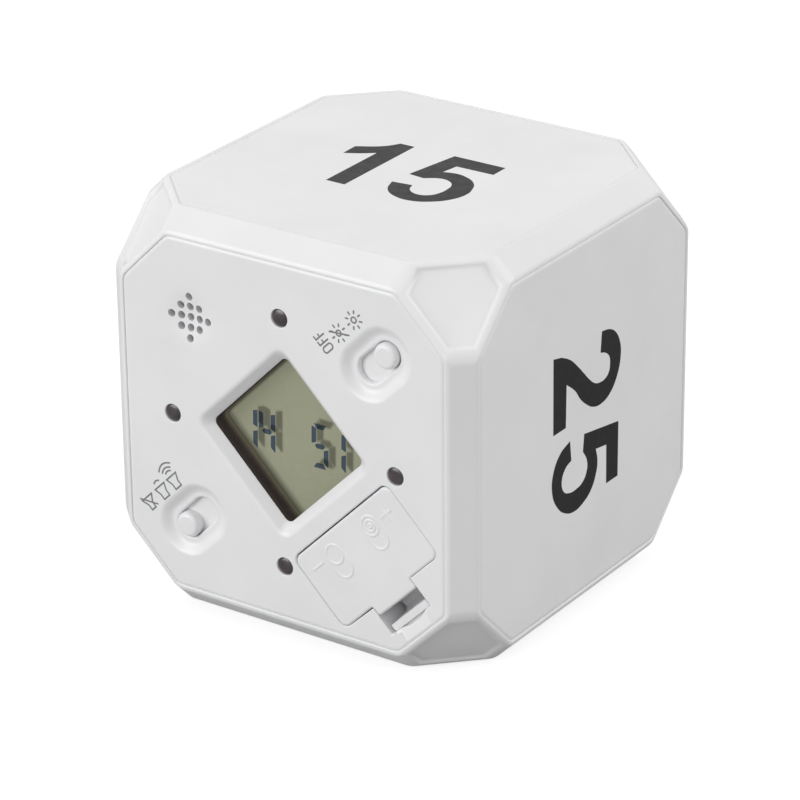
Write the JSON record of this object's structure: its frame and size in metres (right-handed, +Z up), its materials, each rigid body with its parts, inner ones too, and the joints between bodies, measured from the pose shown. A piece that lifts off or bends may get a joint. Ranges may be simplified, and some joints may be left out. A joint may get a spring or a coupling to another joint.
{
  "type": "cube timer",
  "caption": "White cube timer: octagonal face plates clipped in a chamfered cage, a square display set on its corner, slide switches and a battery door with a folded latch.",
  "frame": {"origin": "centre of the bottom face, on the surface it stands on", "axes": "+Z up, +X towards the plate marked 25, -Y out of the control panel with the display"},
  "size_m": [0.0636, 0.0636, 0.0635],
  "materials": {
    "housing": "satin",
    "inner_plastic": "matte",
    "black_foam": "matte",
    "clear_window": "gloss",
    "display_glass": "gloss",
    "connector_rubber": "matte",
    "circuit_board": "satin",
    "black_plastic": "matte",
    "lamp_resin": "gloss",
    "plated_steel": "satin",
    "cell_sleeve": "gloss",
    "red_wire": "satin",
    "black_wire": "satin"
  },
  "bodies": {
    "case": {"cage_front": "housing", "cage_rear": "housing", "top_plate": "housing", "right_plate": "housing", "left_plate": "housing", "bottom_plate": "housing", "rear_plate": "housing", "control_panel": "housing", "display_gasket": "black_foam", "display_window": "clear_window", "display_cell": "display_glass", "display_holder": "inner_plastic", "display_connector": "connector_rubber", "circuit_board": "circuit_board", "controller_chip": "black_plastic", "tilt_sensor": "black_plastic", "clock_crystal": "plated_steel", "top_lamp": "lamp_resin", "right_lamp": "lamp_resin", "bottom_lamp": "lamp_resin", "left_lamp": "lamp_resin", "lamp_switch_can": "plated_steel", "sound_switch_can": "plated_steel", "sounder": "black_plastic", "sounder_foam": "black_foam", "battery_tube": "inner_plastic", "cell_flat_end_out": "cell_sleeve", "cell_nub_end_out": "cell_sleeve", "positive_terminal": "plated_steel", "negative_terminal": "plated_steel", "positive_wire": "red_wire", "negative_wire": "black_wire", "board_screw_1": "plated_steel", "board_screw_2": "plated_steel", "board_screw_3": "plated_steel", "board_screw_4": "plated_steel", "tube_screw_1": "plated_steel", "tube_screw_2": "plated_steel"},
    "lamp_switch": {"lamp_switch_knob": "housing", "lamp_switch_lever": "black_plastic"},
    "sound_switch": {"sound_switch_knob": "housing", "sound_switch_lever": "black_plastic"},
    "door": {"battery_door": "housing", "door_contact": "plated_steel"}
  },
  "joints": [
    {"name": "lamp_switch_slide", "type": "slide", "parent": "case", "child": "lamp_switch", "axis": [0.7071, 0, 0.7071], "range_m": [-0.004, 0]},
    {"name": "sound_switch_slide", "type": "slide", "parent": "case", "child": "sound_switch", "axis": [0.7071, 0, 0.7071], "range_m": [0, 0.004]},
    {"name": "battery_door_tilt", "type": "hinge", "parent": "case", "child": "door", "pos_m": [0.00979, -0.03175, 0.02196], "axis": [-0.7071, 0, -0.7071], "range_deg": [0, 40]}
  ]
}
